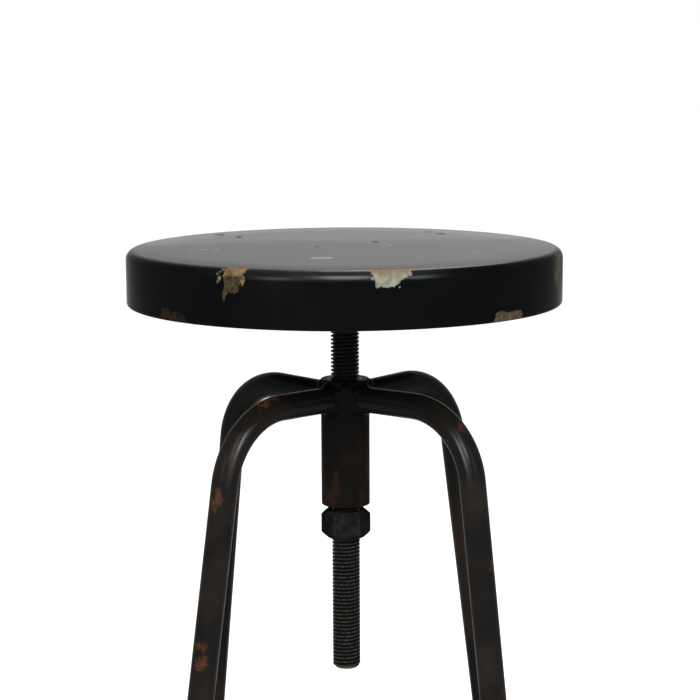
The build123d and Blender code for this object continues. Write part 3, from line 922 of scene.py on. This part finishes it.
# the polish: fine rings all over the top, and a wavy line across it beyond which it is rubbed brighter
ring_place = add_node(tree, "CombineXYZ", {0: out_from_axis, 1: 0.0, 2: 0.0}).outputs[0]
rings = grain(tree, ring_place, 640, 3, 0.7)
wave = sway(tree, grain(tree, place, 14, 3), 0.09)
rubbed = spread(tree, work_out(tree, "ADD", axes["Y"], wave), 0.020, 0.060)
ringed = spread(tree, rings, 0.25, 0.75, 0.195, 0.225)
gloss = work_out(tree, "SUBTRACT", ringed, work_out(tree, "MULTIPLY", rubbed, 0.045))
gloss = value_over(tree, marked, gloss, 0.50)
bare = work_out(tree, "MAXIMUM", chipped, work_out(tree, "MULTIPLY", specks, 0.6))
tree.links.new(value_over(tree, bare, gloss, 0.8), shader.inputs["Roughness"])
shader.inputs["Specular IOR Level"].default_value = 0.002

# the front of the top edge is worn smooth, and the coat shines less down the rim and where it has gone
worn_smooth = gather(tree, "MULTIPLY", (
    spread(tree, up_rim, 0.6915, 0.6955),
    spread(tree, up_rim, 0.7062, 0.7030),
    spread(tree, axes["X"], 0.085, 0.030),
    spread(tree, axes["X"], -0.130, -0.010),
    0.40,
))
polish = spread(tree, axes["X"], 0.02, 0.15, 0.288, 0.322)
polish = work_out(tree, "ADD", work_out(tree, "MULTIPLY", rubbed, 0.06), polish)
uneven = spread(tree, mottle, 0.35, 0.65, 0.94, 1.05)
on_rim = spread(tree, up_rim, 0.7000, 0.7075, 0.10, 1.0)
polish = gather(tree, "MULTIPLY", (polish, uneven, on_rim))
polish = work_out(tree, "MAXIMUM", polish, worn_smooth)
lost = work_out(tree, "MULTIPLY", work_out(tree, "MAXIMUM", bare, marked), 0.8)
polish = work_out(tree, "MULTIPLY", polish, work_out(tree, "SUBTRACT", 1.0, lost))
tree.links.new(polish, shader.inputs["Coat Weight"])
shader.inputs["Coat Roughness"].default_value = 0.26
depth = work_out(tree, "MAXIMUM", chipped, marked)
depth = work_out(tree, "ADD", depth, work_out(tree, "MULTIPLY", rings, 0.02))
emboss(tree, shader, work_out(tree, "SUBTRACT", 1.0, depth), 0.0003)
enamelled_seat = add_piece("enamelled_seat", seat, seat_finish, "seat", "seat_pan")


# Stiffener: a plain disc spot-welded under the top of the seat, enamelled along with it on the underside.
# The coat is thin there: it has gone grey with dust, and rust has come through in spots.
under_finish, tree, shader, place = new_finish("underside_enamel")
dust = spread(tree, grain(tree, place, 45, 5, 0.6), 0.35, 0.7)
speckle = grain(tree, place, 240, 4, 0.65)
thin_coat = coat(tree, dust, (0.0090, 0.0088, 0.0086, 1), (0.028, 0.0255, 0.022, 1))
rust_spots = work_out(tree, "MULTIPLY", grain(tree, place, 24, 3), speckle)
rust_spots = spread(tree, rust_spots, 0.31, 0.37, 0, 0.8)
tree.links.new(coat(tree, rust_spots, thin_coat, rust(tree, speckle)), shader.inputs["Base Color"])
tree.links.new(spread(tree, dust, 0, 1, 0.45, 0.75), shader.inputs["Roughness"])
shader.inputs["Specular IOR Level"].default_value = 0.05
emboss(tree, shader, speckle, 0.0002, 0.5)
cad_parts["seat_stiffener"].material_slots[0].material = under_finish
enamelled_seat.data.materials.append(under_finish)


# Studio: a pale floor with a white surround, and four soft lamps: the main one in front and above,
# a weak one at each side in front, and one high behind that shows the back.
# The camera has a long lens and stands in front of the stool, a little above the seat.
floor_radius = 14
near_floor, far_floor = 0.25, 1.0
camera_place = (-0.05326, -1.49640, 0.8529)
camera_turn, camera_tilt, camera_roll = radians(-2.19), radians(90 - 8.875), radians(-0.307)


def looked_at(tree):
    """1 where the camera, a reflection or a clear thing looks straight at it."""
    rays = add_node(tree, "LightPath", {}).outputs
    return gather(tree, "MAXIMUM", [rays[f"Is {kind} Ray"] for kind in ("Camera", "Glossy", "Transmission")])


floor_mesh = bpy.data.meshes.new("floor")
bm = bmesh.new()
bmesh.ops.create_circle(bm, cap_ends=True, segments=96, radius=floor_radius)
bm.to_mesh(floor_mesh)
bm.free()
floor = bpy.data.objects.new("floor", floor_mesh)
bpy.context.scene.collection.objects.link(floor)
floor_finish, tree, shader, place = new_finish("pale_floor")
shader.inputs["Base Color"].default_value = (0.86, 0.86, 0.86, 1)
shader.inputs["Roughness"].default_value = 0.9
shader.inputs["Specular IOR Level"].default_value = 0.0
shader.inputs["Emission Color"].default_value = (1, 1, 1, 1)
glow = spread(tree, distance(tree, place), near_floor, far_floor, 0.20, 0.86)
tree.links.new(work_out(tree, "MULTIPLY", looked_at(tree), glow), shader.inputs["Emission Strength"])
floor_mesh.materials.append(floor_finish)

world = bpy.data.worlds.new("white_surround")
bpy.context.scene.world = world
world.use_nodes = True
tree = world.node_tree
background = tree.nodes["Background"]
background.inputs["Color"].default_value = (1, 1, 1, 1)
tree.links.new(spread(tree, looked_at(tree), 0, 1, 0.2, 1.0), background.inputs["Strength"])

for name, stand, aim, wide, tall, power, tint in (
    ("front_lamp", (-0.05, -1.65, 1.85), (0, 0, 0.68), 0.7, 1.1, 34, (1.0, 0.99, 0.98)),
    ("left_lamp", (-1.08, -1.43, 1.10), (0, 0, 0.58), 0.40, 0.8, 8, (0.86, 0.98, 1.0)),
    ("right_lamp", (1.01, -1.39, 1.32), (0, 0, 0.58), 0.40, 0.8, 9, (0.80, 0.98, 1.0)),
    ("back_lamp", (0.35, 1.60, 2.10), (0, 0, 0.55), 0.8, 0.8, 20, (1.0, 0.99, 0.98)),
):
    lamp = bpy.data.objects.new(name, bpy.data.lights.new(name, "AREA"))
    lamp.data.shape = "RECTANGLE"
    lamp.data.size = wide
    lamp.data.size_y = tall
    lamp.data.energy = power
    lamp.data.color = tint
    lamp.location = stand
    lamp.rotation_euler = (Vector(aim) - Vector(stand)).to_track_quat("-Z", "Y").to_euler()
    bpy.context.scene.collection.objects.link(lamp)

camera = bpy.data.objects.new("camera", bpy.data.cameras.new("camera"))
camera.data.lens = 100.1
camera.data.sensor_width = 36
camera.matrix_world = (
    Matrix.Translation(camera_place)
    @ Matrix.Rotation(camera_turn, 4, "Z")
    @ Matrix.Rotation(camera_tilt, 4, "X")
    @ Matrix.Rotation(camera_roll, 4, "Z")
)
bpy.context.scene.collection.objects.link(camera)
bpy.context.scene.camera = camera
bpy.context.scene.view_settings.view_transform = "Standard"
